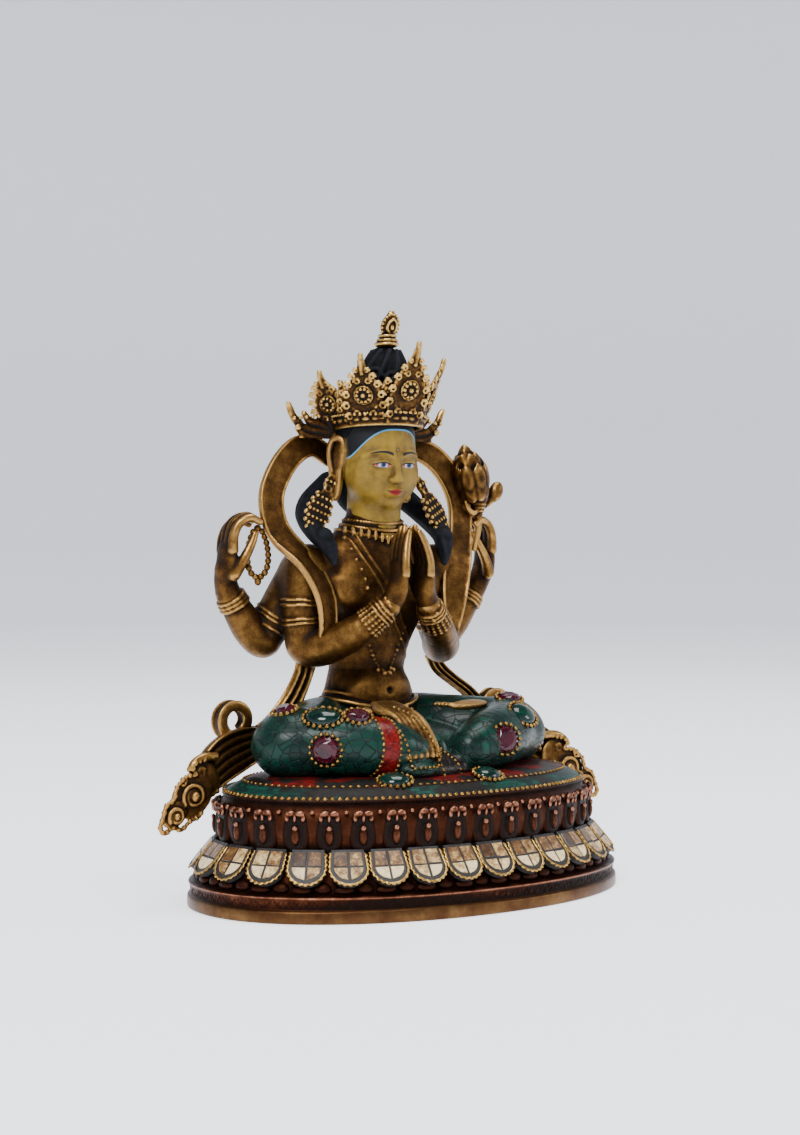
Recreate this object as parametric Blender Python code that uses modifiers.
"""Seated four-armed Avalokiteshvara of cast copper alloy on a double-lotus pedestal.

The deity faces -Y, the pedestal stands on z = 0 and the origin is the middle of its underside.
Nodes: the pedestal, the figure with its cast-on scarf, the crown, the topknot jewel and the set stones.
"""

import math

import bmesh
import bpy
from mathutils import Matrix, Vector

MM = 0.001

# Driving dimensions, in millimetres
FOOT_LENGTH = 168.0
FOOT_WIDTH = 110.0
FOOT_BAND_HEIGHT = 4.4
FRIEZE_HEIGHT = 4.4
LOWER_LOTUS_HEIGHT = 13.8
UPPER_LOTUS_HEIGHT = 13.8
SEAT_RIM_HEIGHT = 3.0
SEAT_DOME_HEIGHT = 5.1
SEAT_LENGTH = 144.0
SEAT_WIDTH = 88.0
LOWER_PETALS = 30
UPPER_PETALS = 34
FIGURE_HEIGHT = 165.5
SEATING_GAP = 0.3
STONE_GAP = 0.3
SCARF_THICKNESS = 2.4
CROWN_LEAF_THICKNESS = 1.9
CROWN_BAND_HEIGHT = 5.0
CROWN_HEAD_CLEARANCE = 0.6
CROWN_FIT_GAP = 0.9
BEZEL_WIDTH = 1.3
STONE_DEPTH = 2.2

# Levels of the pedestal, worked out from the heights above
FRIEZE_TOP = FOOT_BAND_HEIGHT + FRIEZE_HEIGHT
LOWER_TOP = FRIEZE_TOP + LOWER_LOTUS_HEIGHT
UPPER_TOP = LOWER_TOP + UPPER_LOTUS_HEIGHT
RIM_TOP = UPPER_TOP + SEAT_RIM_HEIGHT
SEAT_TOP = RIM_TOP + SEAT_DOME_HEIGHT

# The figure is drawn at 165.5 mm tall above a seat at 44.5 mm, and scales with its own height
DRAWN_HEIGHT = 165.5
DRAWN_SEAT = 44.5
FIG = FIGURE_HEIGHT / DRAWN_HEIGHT

# Triangles that each node may keep
FIGURE_TRIANGLES = 3700
CROWN_TRIANGLES = 900
PEDESTAL_TRIANGLES = 3150
REMESH_MM = 0.85
PEDESTAL_SEGMENTS = 48
STONE_SEGMENTS = 10
ROSARY_BEADS = 22

MATERIALS = {
    "copper": ((0.30, 0.15, 0.075), 0.42, 1.0),
    "antique_bronze": ((0.42, 0.29, 0.13), 0.38, 1.0),
    "gilt": ((0.62, 0.46, 0.20), 0.32, 1.0),
    "ruby": ((0.22, 0.01, 0.05), 0.12, 0.0),
    "emerald": ((0.01, 0.14, 0.10), 0.12, 0.0),
}


def clear_scene():
    for obj in list(bpy.data.objects):
        bpy.data.objects.remove(obj)


def new_collection(name):
    made = bpy.data.collections.new(name)
    bpy.context.scene.collection.children.link(made)
    return made


def material(name):
    made = bpy.data.materials.get(name)
    if made:
        return made
    made = bpy.data.materials.new(name)
    made.use_nodes = True
    colour, roughness, metallic = MATERIALS[name]
    shader = made.node_tree.nodes["Principled BSDF"]
    shader.inputs["Base Color"].default_value = (*colour, 1)
    shader.inputs["Roughness"].default_value = roughness
    shader.inputs["Metallic"].default_value = metallic
    return made


def fig(x, y, z):
    """A point of the figure as drawn, in metres and on the seat as built."""
    return Vector((x * FIG, y * FIG, SEAT_TOP + (z - DRAWN_SEAT) * FIG)) * MM


def oval(half_length, half_width, angle):
    """A point of a slightly squared oval. Angle 0 is the front, and it grows towards +X."""
    squareness = 2 / 2.1
    c, s = math.sin(angle), -math.cos(angle)
    x = half_length * math.copysign(abs(c) ** squareness, c)
    y = half_width * math.copysign(abs(s) ** squareness, s)
    return x, y


# Building blocks
def bmesh_object(name, bm, collection):
    mesh = bpy.data.meshes.new(name)
    bmesh.ops.recalc_face_normals(bm, faces=bm.faces)
    bm.to_mesh(mesh)
    bm.free()
    obj = bpy.data.objects.new(name, mesh)
    collection.objects.link(obj)
    return obj


def bridge_rings(bm, rings):
    """Faces between rings of points, with a cap at each end."""
    loops = [[bm.verts.new(p) for p in ring] for ring in rings]
    count = len(loops[0])
    for low, high in zip(loops, loops[1:]):
        for i in range(count):
            j = (i + 1) % count
            bm.faces.new((low[i], low[j], high[j], high[i]))
    bm.faces.new(reversed(loops[0]))
    bm.faces.new(loops[-1])


def ellipsoid(bm, centre, radii, tilt=(0, 0, 0), segments=16, grow=0.0):
    """A sphere scaled to three radii, turned by tilt degrees about X, Y and Z."""
    radii = [r + grow for r in radii]
    turn = Matrix.Rotation(math.radians(tilt[2]), 4, "Z")
    turn = turn @ Matrix.Rotation(math.radians(tilt[1]), 4, "Y")
    turn = turn @ Matrix.Rotation(math.radians(tilt[0]), 4, "X")
    size = Matrix.Diagonal((*(r * FIG * MM for r in radii), 1))
    place = Matrix.Translation(fig(*centre)) @ turn @ size
    bmesh.ops.create_uvsphere(bm, u_segments=segments, v_segments=segments // 2, radius=1, matrix=place)


def tube_mesh(points, collection, sides=10):
    """A limb: a smooth curve with a radius at each point, as a mesh with closed ends."""
    curve = bpy.data.curves.new("tube", "CURVE")
    curve.dimensions = "3D"
    curve.bevel_depth = 1.0
    curve.bevel_resolution = max(1, sides // 4)
    curve.use_fill_caps = True
    curve.resolution_u = 4
    spline = curve.splines.new("NURBS")
    spline.points.add(len(points) - 1)
    for slot, (x, y, z, r) in zip(spline.points, points):
        slot.co = (*fig(x, y, z), 1)
        slot.radius = r * FIG * MM
    spline.order_u = 3
    spline.use_endpoint_u = True
    obj = bpy.data.objects.new("tube", curve)
    collection.objects.link(obj)
    bpy.context.view_layer.update()
    graph = bpy.context.evaluated_depsgraph_get()
    mesh = bpy.data.meshes.new_from_object(obj.evaluated_get(graph))
    bpy.data.objects.remove(obj)
    return mesh


def add_tube(bm, points, collection):
    """A limb with a ball at each end, added to the mesh being built."""
    bm.from_mesh(tube_mesh(points, collection))
    for x, y, z, r in (points[0], points[-1]):
        ellipsoid(bm, (x, y, z), (r, r, r), segments=10)


def mirror(points):
    return [(-p[0], *p[1:]) for p in points]


def add_ribbon(bm, stations, thickness, pleats=0, pleat_depth=0.0):
    """A flat strip through stations of (x, y, z, half width, across direction), with lengthwise pleats."""
    steps = max(1, 2 * pleats)
    edge = [(-1 + 2 * i / steps, pleat_depth * (i % 2)) for i in range(steps + 1)]
    rings = []
    for k, (x, y, z, half, across) in enumerate(stations):
        before = stations[max(k - 1, 0)]
        after = stations[min(k + 1, len(stations) - 1)]
        along = (Vector(after[:3]) - Vector(before[:3])).normalized()
        side = Vector(across)
        side = (side - along * side.dot(along)).normalized()
        out = along.cross(side)
        centre = Vector((x, y, z))
        ring = []
        for a, depth in edge:
            ring.append(fig(*(centre + side * half * a + out * (depth - thickness / 2))))
        for a, depth in reversed(edge):
            ring.append(fig(*(centre + side * half * a + out * (depth + thickness / 2))))
        rings.append(ring)
    bridge_rings(bm, rings)


def between(stations, steps):
    """Smooth stations through the given ones, on a Catmull-Rom curve."""
    rows = [list(s[:4]) + list(s[4]) for s in stations]
    made = []
    for k in range(len(rows) - 1):
        a, b, c, d = (rows[min(max(k + o, 0), len(rows) - 1)] for o in (-1, 0, 1, 2))
        for i in range(steps):
            t = i / steps
            row = []
            for p, q, r, s in zip(a, b, c, d):
                row.append(
                    0.5 * (2 * q + (r - p) * t + (2 * p - 5 * q + 4 * r - s) * t * t
                           + (3 * q - p - 3 * r + s) * t ** 3)
                )
            made.append((*row[:4], tuple(row[4:])))
    made.append((*rows[-1][:4], tuple(rows[-1][4:])))
    return made


def soften(obj, voxel, rounds):
    """Fuses everything in obj into one skin and rounds its creases."""
    remesh = obj.modifiers.new("fuse", "REMESH")
    remesh.mode = "VOXEL"
    remesh.voxel_size = voxel * MM
    remesh.adaptivity = 0
    smooth = obj.modifiers.new("round", "SMOOTH")
    smooth.factor = 0.5
    smooth.iterations = rounds


def apply_modifiers(obj):
    bpy.context.view_layer.update()
    graph = bpy.context.evaluated_depsgraph_get()
    mesh = bpy.data.meshes.new_from_object(obj.evaluated_get(graph))
    obj.modifiers.clear()
    obj.data = mesh


def keep_largest(obj):
    """Drops loose crumbs that the fusing may leave, so that the node is one body."""
    bm = bmesh.new()
    bm.from_mesh(obj.data)
    left = set(bm.verts)
    islands = []
    while left:
        stack = [left.pop()]
        island = []
        while stack:
            v = stack.pop()
            island.append(v)
            for e in v.link_edges:
                w = e.other_vert(v)
                if w in left:
                    left.remove(w)
                    stack.append(w)
        islands.append(island)
    islands.sort(key=len)
    for island in islands[:-1]:
        bmesh.ops.delete(bm, geom=island, context="VERTS")
    bm.to_mesh(obj.data)
    bm.free()


def thin_out(obj, triangles):
    """Collapses the mesh to about this many triangles."""
    bm = bmesh.new()
    bm.from_mesh(obj.data)
    bmesh.ops.triangulate(bm, faces=bm.faces)
    count = len(bm.faces)
    bm.to_mesh(obj.data)
    bm.free()
    decimate = obj.modifiers.new("thin", "DECIMATE")
    decimate.ratio = min(1.0, triangles / count)
    apply_modifiers(obj)


def boolean(obj, other, operation):
    cut = obj.modifiers.new(operation.lower(), "BOOLEAN")
    cut.operation = operation
    cut.solver = "EXACT"
    cut.object = other


def as_cutter(obj):
    obj.hide_render = True
    obj.display_type = "WIRE"


# The pedestal
def pedestal_rings():
    """Half length, half width and height of the core's rings, from the underside up."""
    foot, wide = FOOT_LENGTH / 2, FOOT_WIDTH / 2
    seat, deep = SEAT_LENGTH / 2, SEAT_WIDTH / 2
    return [
        (foot, wide, 0.0),
        (foot, wide, FOOT_BAND_HEIGHT),
        (foot - 1.2, wide - 1.2, FOOT_BAND_HEIGHT + 0.4),
        (foot - 0.8, wide - 0.8, FRIEZE_TOP),
        (foot - 4.5, wide - 4.5, FRIEZE_TOP + 1.4),
        (seat + 1.5, deep + 1.5, LOWER_TOP),
        (seat - 0.5, deep - 0.5, LOWER_TOP + 1.2),
        (seat + 1.0, deep + 1.0, UPPER_TOP - 1.0),
        (seat - 2.0, deep - 2.0, UPPER_TOP),
        (seat - 0.6, deep - 0.6, RIM_TOP),
        (seat - 6.0, deep - 5.0, RIM_TOP + SEAT_DOME_HEIGHT * 0.5),
        (seat - 13.5, deep - 9.0, SEAT_TOP),
    ]


def pedestal(collection, tools):
    bm = bmesh.new()
    segments = PEDESTAL_SEGMENTS
    rings = []
    for half_length, half_width, z in pedestal_rings():
        ring = []
        for i in range(segments):
            x, y = oval(half_length, half_width, math.tau * i / segments)
            ring.append(Vector((x, y, z)) * MM)
        rings.append(ring)
    bridge_rings(bm, rings)
    core = bmesh_object("pedestal", bm, collection)

    petals = bmesh.new()
    foot, wide = FOOT_LENGTH / 2, FOOT_WIDTH / 2
    seat, deep = SEAT_LENGTH / 2, SEAT_WIDTH / 2
    petal_ring(petals, LOWER_PETALS, (foot - 6.2, wide - 6.2), FRIEZE_TOP + LOWER_LOTUS_HEIGHT * 0.48,
               LOWER_LOTUS_HEIGHT * 0.66, 2.6, 36)
    petal_ring(petals, UPPER_PETALS, (seat + 1.6, deep + 1.6), LOWER_TOP + UPPER_LOTUS_HEIGHT * 0.5,
               UPPER_LOTUS_HEIGHT * 0.46, 2.3, 0)
    leaves = bmesh_object("petal_rows", petals, tools)
    as_cutter(leaves)
    boolean(core, leaves, "UNION")
    apply_modifiers(core)
    thin_out(core, PEDESTAL_TRIANGLES)
    core.data.materials.append(material("copper"))
    return core


def arc_angles(half_length, half_width, count):
    """Angles that place count points evenly along an oval."""
    fine = 720
    points = [Vector(oval(half_length, half_width, math.tau * i / fine)) for i in range(fine + 1)]
    run = [0.0]
    for a, b in zip(points, points[1:]):
        run.append(run[-1] + (b - a).length)
    angles = []
    k = 0
    for i in range(count):
        target = run[-1] * i / count
        while run[k + 1] < target:
            k += 1
        part = (target - run[k]) / (run[k + 1] - run[k])
        angles.append(math.tau * (k + part) / fine)
    return angles, run[-1] / count


def petal_ring(bm, count, half_axes, z, half_height, half_depth, lean):
    """A ring of petals: flattened balls, side by side along the oval, leaning out by lean degrees."""
    half_length, half_width = half_axes
    angles, spacing = arc_angles(half_length, half_width, count)
    for angle in angles:
        x, y = oval(half_length, half_width, angle)
        nx, ny = oval(half_length + 1, half_width + 1, angle)
        out = Vector((nx - x, ny - y, 0)).normalized()
        side = Vector((0, 0, 1)).cross(out)
        turn = Matrix((side, out, Vector((0, 0, 1)))).transposed().to_4x4()
        place = Matrix.Translation(Vector((x, y, z)) * MM) @ turn
        place = place @ Matrix.Rotation(math.radians(lean), 4, "X")
        size = Matrix.Diagonal((spacing * 0.46 * MM, half_depth * MM, half_height * MM, 1))
        bmesh.ops.create_uvsphere(bm, u_segments=6, v_segments=4, radius=1, matrix=place @ size)


# The figure, drawn in the millimetres of the 165.5 mm figure. Front limbs are given for the +X side.
TORSO = [
    (50, 25, 25, 18), (58, 24, 24, 17), (66, 23, 21.5, 14), (75, 23, 17.8, 12), (84, 22.5, 17.6, 11.5),
    (94, 22, 20.5, 12.5), (104, 21.5, 24, 13.8), (112, 22, 26.5, 13.8), (118, 23, 26, 13),
    (123, 23.5, 22.5, 12.2), (128, 23.8, 17, 11.4), (132, 23.6, 12.4, 10.6), (135.5, 23.2, 10.3, 9.8),
    (142, 21.2, 9.7, 9.5),
]
FRONT_ARM = [(28, 23.5, 116, 9), (30, 23, 104, 8.2), (30, 22.5, 94, 7.4), (29.5, 21.5, 88, 7.2),
             (25, 15, 88.5, 7.0), (17, 5.5, 94.5, 5.8), (8, -0.5, 103, 4.4)]
REAR_ARM = [(28, 28, 114, 8.5), (34, 33, 101, 7.8), (38, 36, 92.5, 7.2), (40, 36.2, 90.3, 6.9),
            (46, 36, 95.5, 6.3), (54, 35, 106.5, 4.8)]
THIGH = [(14, 27, 57, 13), (30, 17, 57.5, 12), (47, 3, 56, 11.5)]
SHIN = [(47, 3, 55.5, 11.5), (33, -11, 55.5, 11.2), (17, -18, 53.5, 9.5), (4, -19, 50, 6.5)]
SCARF = [
    (12, 33, 157, 3.5, (0.2, 0, 1)), (20, 32, 160.5, 4.2, (0.3, 0.2, 1)), (29, 29, 158.5, 5.0, (0.9, 0, 0.9)),
    (37, 27.5, 151, 5.4, (1, 0, 0.4)),
    (43, 26, 140, 5.2, (1, 0, 0.1)), (40, 22, 127, 5.0, (1, -0.1, -0.3)), (31, 12.5, 115, 5.6, (1, -0.2, 0)),
    (28, 9.5, 103, 5.4, (1, -0.3, 0)), (28, 12, 91, 4.6, (1, 0, 0)), (28.5, 24, 80, 4.2, (1, 0.2, 0.2)),
    (33, 28, 68, 4.6, (1, 0, 0.5)), (41, 28, 57, 5.0, (0.7, 0, 1)), (50, 27, 53.5, 5.2, (0.1, -0.3, 1)),
]
CURL = (57.5, 26, 62.5)
CURL_RADIUS = 5.6


def torso(bm):
    rings = []
    for z, y, rx, ry in TORSO:
        ring = []
        for i in range(20):
            a = math.tau * i / 20
            ring.append(fig(rx * math.cos(a), y + ry * math.sin(a), z))
        rings.append(ring)
    bridge_rings(bm, rings)
    for s in (-1, 1):
        ellipsoid(bm, (11 * s, 13.5, 108), (11, 6, 8))
    ellipsoid(bm, (0, 14.5, 70), (13, 8, 8))


def skull(bm, grow):
    """The head above the ears with its hair and topknot: what the crown goes round."""
    ellipsoid(bm, (0, 22, 160), (14.6, 16, 18), grow=grow)
    ellipsoid(bm, (0, 31, 152), (13, 9, 18), grow=grow)
    ellipsoid(bm, (0, 16.5, 180), (11.5, 11, 8), (16, 0, 0), grow=grow)
    ellipsoid(bm, (0, 15, 188), (8.6, 8.6, 10.6), (10, 0, 0), grow=grow)


def head(bm):
    skull(bm, 0)
    ellipsoid(bm, (0, 17.5, 150), (12.2, 11.5, 13), (12, 0, 0))
    ellipsoid(bm, (0, 10.5, 140.5), (4, 3.6, 3.4))
    ellipsoid(bm, (0, 6.2, 152.5), (1.7, 3.2, 5), (-14, 0, 0), 10)
    ellipsoid(bm, (0, 8.0, 145.6), (3.2, 1.9, 1.4), (0, 0, 0), 10)
    for s in (-1, 1):
        ellipsoid(bm, (15.4 * s, 23, 158), (2.2, 4, 7), (0, -8 * s, 12 * s), 10)
        ellipsoid(bm, (16.4 * s, 23, 149), (1.8, 2.6, 7), (0, 0, 0), 10)
        ellipsoid(bm, (5.6 * s, 8.2, 156), (4, 2.2, 1.9), (0, 0, -16 * s), 10)
        ellipsoid(bm, (21.5 * s, 17.5, 137), (3.4, 2.0, 9), (0, -24 * s, 0), 10)
        ellipsoid(bm, (21 * s, 19, 146.5), (2.2, 2.0, 4), (0, -20 * s, 0), 10)


def hair_locks(bm, collection):
    for s in (-1, 1):
        lock = [(14 * s, 33, 146, 5), (22 * s, 31, 137, 4.6), (26 * s, 24, 127, 4.4), (25.5 * s, 16, 118, 3.8),
                (23.5 * s, 11.5, 111, 2.2)]
        add_tube(bm, lock, collection)


def legs(bm, collection):
    for s in (1, -1):
        thigh = THIGH if s > 0 else mirror(THIGH)
        shin = SHIN if s > 0 else mirror(SHIN)
        add_tube(bm, thigh, collection)
        add_tube(bm, shin, collection)
        ellipsoid(bm, (47 * s, 3, 54), (11.8, 11.8, 10.5))
    ellipsoid(bm, (0, 5, 50), (30, 22, 10))
    # The soles turned up on the thighs, and the pleats that fall between the shins
    ellipsoid(bm, (20, -5, 66), (11, 4.2, 2.8), (0, 8, 14), 10)
    ellipsoid(bm, (-15, -3, 65), (9, 4, 2.6), (0, -6, -14), 10)
    ellipsoid(bm, (-12, -22.5, 47.5), (8, 8, 4.5), (0, 0, 0), 10)
    for k in range(4):
        pleat = [(-18 + 3 * k, -8, 65 - k, 1.8), (-18 + 2.4 * k, -17, 61, 1.8), (-18 + 2.4 * k, -22, 54, 1.6)]
        add_tube(bm, pleat, collection)


def hand_in_prayer(bm, collection, s):
    """One of the two front hands, palms facing across x = 0."""
    ellipsoid(bm, (5.6 * s, -2.0, 111.5), (2.7, 5.4, 8.5), (-8, 10 * s, 0), 12)
    for k in range(4):
        y = -6.2 + 2.5 * k
        reach = (0, 1.6, 1.2, -1.2)[k]
        finger = [(4.8 * s, y, 116, 1.55), (3.9 * s, y + 0.8, 122.5, 1.5), (2.4 * s, y + 2.2, 128.8 + reach, 1.3)]
        add_tube(bm, finger, collection)
    thumb = [(5.2 * s, 1.6, 107.5, 1.7), (3.6 * s, 3.8, 114, 1.5), (3.0 * s, 4.2, 119, 1.3)]
    add_tube(bm, thumb, collection)


def raised_hand(bm, collection, s):
    """A rear hand: the palm rises from the wrist, and the fingers bend in."""
    ellipsoid(bm, (56.8 * s, 31.0, 117.5), (3.0, 5.2, 9.0), (0, 4 * s, 0), 12)
    for k in range(4):
        y = 34.8 - 2.7 * k
        finger = [(57 * s, y, 124, 1.6), (55.6 * s, y - 0.6, 131.8 - 0.8 * k, 1.6),
                  (51.0 * s, y - 2.0, 134.8 - 1.4 * k, 1.4), (46.4 * s, y - 3.0, 133.2 - 1.6 * k, 1.2)]
        add_tube(bm, finger, collection)
    thumb = [(55.3 * s, 27.0, 116, 1.8), (51.3 * s, 25.3, 122, 1.6), (48.0 * s, 25.8, 127, 1.3)]
    add_tube(bm, thumb, collection)


def ring_of(bm, centre, normal, radius, thickness, collection, squash=1.0):
    """A bangle: a closed tube round a limb."""
    turn = Vector((0, 0, 1)).rotation_difference(Vector(normal)).to_matrix()
    points = []
    for i in range(13):
        a = math.tau * i / 12
        p = turn @ Vector((radius * math.cos(a), radius * squash * math.sin(a), 0))
        points.append((centre[0] + p.x, centre[1] + p.y, centre[2] + p.z, thickness))
    add_tube(bm, points, collection)


def jewellery(bm, collection):
    for s in (-1, 1):
        ring_of(bm, (9.4 * s, 0.5, 101.6), (9 * s, 6, -8.5), 5.0, 1.1, collection)
        ring_of(bm, (12.6 * s, 2.4, 98.6), (9 * s, 6, -8.5), 5.6, 1.0, collection)
        ring_of(bm, (30 * s, 23, 102.5), (0.5 * s, 0, -12), 8.6, 1.1, collection)
        ring_of(bm, (53.4 * s, 35.1, 105.6), (8 * s, -1, 11), 5.2, 1.1, collection)
        ring_of(bm, (35.4 * s, 34.2, 98.2), (4 * s, 3, -9), 8.2, 1.0, collection)
    ring_of(bm, (0, 23.5, 129.6), (0, -0.3, 1), 13.6, 1.8, collection, 0.84)
    ring_of(bm, (0, 22.5, 69.5), (0, 0, 1), 20.8, 1.6, collection, 0.7)
    chain = [(-16, 12, 119, 1.1), (-11, 8.6, 104, 1.1), (-4, 9.8, 92, 1.2), (0, 10.2, 88.5, 1.5),
             (4, 9.8, 92, 1.2), (11, 8.6, 104, 1.1), (16, 12, 119, 1.1)]
    add_tube(bm, chain, collection)


def scarf(bm, s):
    """The long scarf of one side, its curl on the seat, and the tail that hangs over the seat's end."""
    stations = between(SCARF, 3)
    if s < 0:
        stations = [(-x, y, z, h, (-a[0], a[1], a[2])) for x, y, z, h, a in stations]
    add_ribbon(bm, stations, SCARF_THICKNESS)
    loop = []
    for i in range(15):
        a = math.radians(-150 + 25 * i)
        r = CURL_RADIUS
        loop.append(((CURL[0] + r * math.cos(a)) * s, CURL[1], CURL[2] + r * math.sin(a), 3.0, (0, 1, 0)))
    add_ribbon(bm, loop, 3.2)
    tail = [
        (50 * s, 24, 54, 6.5, (0, 0.2, 1)), (58 * s, 21, 51.5, 7.5, (-0.2 * s, 0.2, 1)),
        (67 * s, 17, 50, 7.0, (0.25 * s, 0.1, 1)), (74 * s, 14, 46.5, 6.2, (0.5 * s, 0, 1)),
        (79.5 * s, 12, 42, 5.0, (0.8 * s, 0, 1)),
    ]
    add_ribbon(bm, between(tail, 3), SCARF_THICKNESS, pleats=3, pleat_depth=1.4 * s)
    ellipsoid(bm, (82.5 * s, 11, 38), (6.4, 1.9, 6.4), (0, 0, 0), 16)
    ellipsoid(bm, (82.5 * s, 9.4, 38), (3.0, 1.6, 3.0), (0, 0, 0), 10)
    ellipsoid(bm, (89.3 * s, 9.6, 33), (4.0, 1.7, 4.0), (0, 0, 0), 12)
    ellipsoid(bm, (93.6 * s, 9, 29.8), (2.4, 1.4, 2.0), (0, 35 * s, 0), 10)
    ellipsoid(bm, (82 * s, 13.4, 47.5), (4.8, 1.7, 1.9), (0, -5 * s, 0), 10)


def flower(bm, collection):
    """The lotus that the rear left hand raises: a stem, a cup of petals round a pointed heart, and a bud."""
    add_tube(bm, [(48.5, 26.5, 124, 1.3), (49.5, 25, 132, 1.5), (49, 25, 140, 1.8)], collection)
    ellipsoid(bm, (49, 25, 142), (4.2, 4.0, 3.6), (0, 0, 0), 12)
    ellipsoid(bm, (47.4, 25, 152), (4.2, 3.6, 8.6), (0, -10, 0), 12)
    for k in range(6):
        a = math.tau * k / 6
        base = (48.6 + 3.6 * math.cos(a), 25 + 3.4 * math.sin(a), 147)
        ellipsoid(bm, base, (2.6, 1.7, 5.6), (0, 22 * math.cos(a), math.degrees(a) * 0.0), 8)
    add_tube(bm, [(50, 25, 138, 1.4), (55.5, 25, 141, 1.2), (58, 25, 143, 1.4)], collection)
    ellipsoid(bm, (59.6, 25, 145.2), (2.6, 2.3, 3.6), (0, 25, 0), 10)


def rosary(bm):
    """The string of beads that hangs from the rear right hand."""
    for i in range(ROSARY_BEADS):
        a = math.tau * i / ROSARY_BEADS
        ellipsoid(bm, (-47.8 - 3.9 * math.sin(a), 27.2, 122.4 + 9.6 * math.cos(a)), (1.55, 1.4, 1.55), (0, 0, 0), 6)


def figure(collection, tools):
    bm = bmesh.new()
    torso(bm)
    head(bm)
    hair_locks(bm, tools)
    legs(bm, tools)
    for s in (1, -1):
        front = FRONT_ARM if s > 0 else mirror(FRONT_ARM)
        rear = REAR_ARM if s > 0 else mirror(REAR_ARM)
        add_tube(bm, front, tools)
        add_tube(bm, rear, tools)
        ellipsoid(bm, (27.5 * s, 24.5, 114), (9.5, 9.5, 9))
        hand_in_prayer(bm, tools, s)
        raised_hand(bm, tools, s)
        scarf(bm, s)
    jewellery(bm, tools)
    flower(bm, tools)
    rosary(bm)
    obj = bmesh_object("figure", bm, collection)
    soften(obj, REMESH_MM * FIG, 3)
    apply_modifiers(obj)
    keep_largest(obj)
    thin_out(obj, FIGURE_TRIANGLES)

    # The underside of the legs is flat, a seating gap above the seat, and clear of the seat's rim
    block = bmesh.new()
    bmesh.ops.create_cube(block, size=1)
    half_length, half_width = SEAT_LENGTH / 2 + 1.0, SEAT_WIDTH / 2 + 2.0
    low = SEAT_TOP - 10
    height = SEAT_TOP + SEATING_GAP - low
    size = Matrix.Diagonal((2 * half_length * MM, 2 * half_width * MM, height * MM, 1))
    block.transform(Matrix.Translation((0, 0, (low + height / 2) * MM)) @ size)
    under = bmesh_object("seat_clearance", block, tools)
    as_cutter(under)
    boolean(obj, under, "DIFFERENCE")
    apply_modifiers(obj)
    keep_largest(obj)
    obj.data.materials.append(material("antique_bronze"))
    return obj


# The crown
CROWN_CENTRE = (0, 21.6)
CROWN_ANGLES = (-92, -50, 0, 50, 92)
CROWN_LEAF_HEIGHTS = (19, 23, 27, 23, 19)
CROWN_BAND_Z = 168.0


def crown_point(angle, radius_x, radius_y, z):
    a = math.radians(angle)
    return Vector((CROWN_CENTRE[0] + radius_x * math.sin(a), CROWN_CENTRE[1] - radius_y * math.cos(a), z))


def crown(collection, tools):
    bm = bmesh.new()
    inner_x = 13.7 + CROWN_HEAD_CLEARANCE
    inner_y = 15.1 + CROWN_HEAD_CLEARANCE
    band = []
    for i in range(25):
        angle = -120 + 10 * i
        p = crown_point(angle, inner_x + 1.1, inner_y + 1.1, CROWN_BAND_Z + CROWN_BAND_HEIGHT / 2)
        band.append((p.x, p.y, p.z, CROWN_BAND_HEIGHT / 2, (0, 0, 1)))
    add_ribbon(bm, band, 2.2)
    for angle, height in zip(CROWN_ANGLES, CROWN_LEAF_HEIGHTS):
        crown_leaf(bm, angle, height, inner_x + 1.1, inner_y + 1.1)
    for s in (-1, 1):
        ear_fan(bm, s)
    obj = bmesh_object("crown", bm, collection)
    soften(obj, 0.6 * FIG, 2)
    apply_modifiers(obj)
    keep_largest(obj)
    thin_out(obj, CROWN_TRIANGLES)
    inside = bmesh.new()
    skull(inside, CROWN_FIT_GAP)
    room = bmesh_object("head_room", inside, tools)
    soften(room, 0.8 * FIG, 1)
    apply_modifiers(room)
    thin_out(room, 2400)
    as_cutter(room)
    boolean(obj, room, "DIFFERENCE")
    apply_modifiers(obj)
    keep_largest(obj)
    obj.data.materials.append(material("gilt"))
    return obj


def crown_leaf(bm, angle, height, radius_x, radius_y):
    """A pointed leaf that stands on the band and leans out, with a rosette and scrolls on its face."""
    foot = crown_point(angle, radius_x, radius_y, CROWN_BAND_Z + 2)
    out = (crown_point(angle, radius_x + 1, radius_y + 1, CROWN_BAND_Z + 2) - foot).normalized()
    up = (Vector((0, 0, 1)) + out * 0.36).normalized()
    stations = []
    for share, half in ((0, 5.2), (0.12, 6.6), (0.3, 7.6), (0.48, 7.0), (0.66, 5.2), (0.8, 3.0), (0.9, 1.6), (1.0, 1.4)):
        p = foot + up * height * share
        stations.append((p.x, p.y, p.z, half * height / 25, tuple(up.cross(out))))
    add_ribbon(bm, stations, CROWN_LEAF_THICKNESS)
    face = foot + up * height * 0.42 + out * 1.0
    turn = math.degrees(math.atan2(out.y, out.x)) + 90
    ellipsoid(bm, tuple(face), (3.4, 1.4, 3.4), (20, 0, turn), 12)
    for side in (-1, 1):
        scroll = foot + up * height * 0.62 + up.cross(out) * side * 4.6 * height / 25
        ellipsoid(bm, tuple(scroll), (1.6, 1.5, 1.9), (0, 0, turn), 8)


def ear_fan(bm, s):
    """The fan of leaves that stands out above each ear."""
    fan = [(15.5 * s, 28, 170, 3.4, (0, 0.3, 1)), (21 * s, 28, 168.5, 4.4, (-0.2 * s, 0, 1)),
           (27 * s, 28, 169.5, 4.6, (-0.3 * s, 0, 1)), (32 * s, 28, 172.5, 2.6, (-0.6 * s, 0, 1)),
           (35 * s, 28, 175, 1.4, (-0.6 * s, 0, 1))]
    add_ribbon(bm, between(fan, 2), 2.4)


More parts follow.
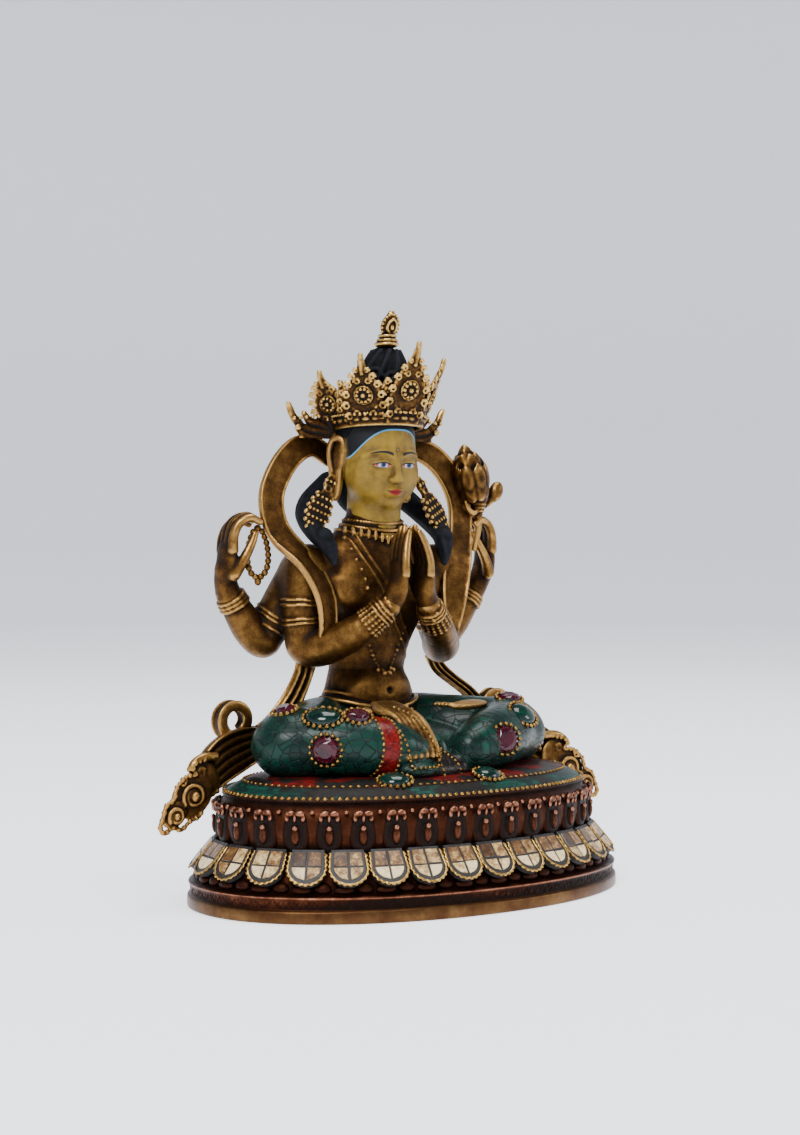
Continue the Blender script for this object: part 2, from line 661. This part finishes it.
def topknot_jewel(collection):
    """The flame-shaped jewel on the topknot: a turned foot and a flattened leaf."""
    bm = bmesh.new()
    profile = [(3.2, 13.5, 199.2), (3.4, 13.5, 200.4), (2.6, 13.4, 201.2), (3.6, 13.0, 203.2), (3.9, 12.4, 205.2),
               (3.1, 11.4, 207.6), (1.6, 10.5, 209.2), (0.5, 9.9, 210)]
    rings = []
    for r, y, z in profile:
        rings.append([fig(r * math.cos(math.tau * i / 10), y + 0.62 * r * math.sin(math.tau * i / 10), z)
                      for i in range(10)])
    bridge_rings(bm, rings)
    obj = bmesh_object("topknot_jewel", bm, collection)
    obj.data.materials.append(material("gilt"))
    return obj


# The set stones: name, kind, centre on the figure as drawn, outward direction, half length and half width
KNEE_STONES = [
    ("ruby_right_outer", "ruby", (-50.0, 3.0, 67.0), (-0.3, 0.0, 0.95), 3.6, 3.0),
    ("emerald_right", "emerald", (-42.3, -10.8, 64.9), (-0.4, -0.43, 0.8), 4.6, 3.2),
    ("ruby_right_inner", "ruby", (-32.6, -16.6, 65.2), (-0.1, -0.55, 0.83), 3.2, 2.8),
    ("ruby_right_front", "ruby", (-44.6, -15.2, 54.3), (-0.66, -0.74, -0.06), 3.5, 3.5),
    ("ruby_left_outer", "ruby", (47.0, 1.5, 67.0), (0.1, -0.2, 0.96), 3.6, 3.0),
    ("emerald_left", "emerald", (41.5, -13.8, 63.3), (0.5, -0.55, 0.66), 4.6, 3.2),
    ("ruby_left_front", "ruby", (24.6, -24.9, 55.4), (0.2, -0.96, 0.15), 3.5, 3.5),
    ("ruby_left_side", "ruby", (58.2, -2.4, 52.6), (0.9, -0.42, -0.05), 3.4, 3.2),
]
# Stones on the pedestal: name, angle round the oval in degrees, level
SEAT_STONES = [("emerald_seat_right", -24.5), ("emerald_seat_left", 9.5)]
SEAT_STONE_INSET = 10.5


def stone_frame(normal):
    out = Vector(normal).normalized()
    side = Vector((0, 0, 1)).cross(out)
    if side.length < 0.2:
        side = Vector((1, 0, 0))
    side.normalize()
    return Matrix((side, out.cross(side), out)).transposed().to_4x4()


def stone(name, kind, centre, normal, half_length, half_width, collection):
    """A low cabochon: a short drum below a dome, cut flat underneath."""
    bm = bmesh.new()
    rings = []
    for share, z in ((1.0, -STONE_DEPTH), (1.0, 0.3), (0.62, 2.0)):
        rings.append([Vector((half_length * share * math.cos(math.tau * i / STONE_SEGMENTS),
                              half_width * share * math.sin(math.tau * i / STONE_SEGMENTS), z)) * MM
                      for i in range(STONE_SEGMENTS)])
    bridge_rings(bm, rings)
    bm.transform(Matrix.Translation(centre) @ stone_frame(normal))
    obj = bmesh_object(name, bm, collection)
    obj.data.materials.append(material(kind))
    return obj


def socket(centre, normal, half_length, half_width, tools):
    """The collar round a stone, and the pocket that the stone sits in with its gap."""
    made = []
    for grow, low, high in ((BEZEL_WIDTH, -STONE_DEPTH - 2.5, 0.5), (STONE_GAP, -STONE_DEPTH - STONE_GAP, 6.0)):
        bm = bmesh.new()
        rings = []
        for z in (low, high):
            rings.append([Vector(((half_length + grow) * math.cos(math.tau * i / STONE_SEGMENTS),
                                  (half_width + grow) * math.sin(math.tau * i / STONE_SEGMENTS), z)) * MM
                          for i in range(STONE_SEGMENTS)])
        bridge_rings(bm, rings)
        bm.transform(Matrix.Translation(centre) @ stone_frame(normal))
        obj = bmesh_object("socket", bm, tools)
        as_cutter(obj)
        made.append(obj)
    return made


def set_stone(host, name, kind, centre, normal, half_length, half_width, collection, tools):
    collar, pocket = socket(centre, normal, half_length, half_width, tools)
    boolean(host, collar, "UNION")
    boolean(host, pocket, "DIFFERENCE")
    stone(name, kind, centre, normal, half_length, half_width, collection)


def main():
    clear_scene()
    parts = new_collection("avalokiteshvara_statue")
    tools = new_collection("cutters")
    base = pedestal(parts, tools)
    body = figure(parts, tools)
    crown(parts, tools)
    topknot_jewel(parts)
    for name, kind, centre, normal, half_length, half_width in KNEE_STONES:
        set_stone(body, name, kind, fig(*centre), normal, half_length * FIG, half_width * FIG, parts, tools)
    apply_modifiers(body)
    for name, degrees in SEAT_STONES:
        x, y = oval(SEAT_LENGTH / 2 - SEAT_STONE_INSET, SEAT_WIDTH / 2 - SEAT_STONE_INSET, math.radians(degrees))
        centre = Vector((x, y, RIM_TOP + SEAT_DOME_HEIGHT * 0.85)) * MM
        set_stone(base, name, "emerald", centre, (x / 250, y / 250, 1.0), 4.2, 2.9, parts, tools)
    apply_modifiers(base)


main()
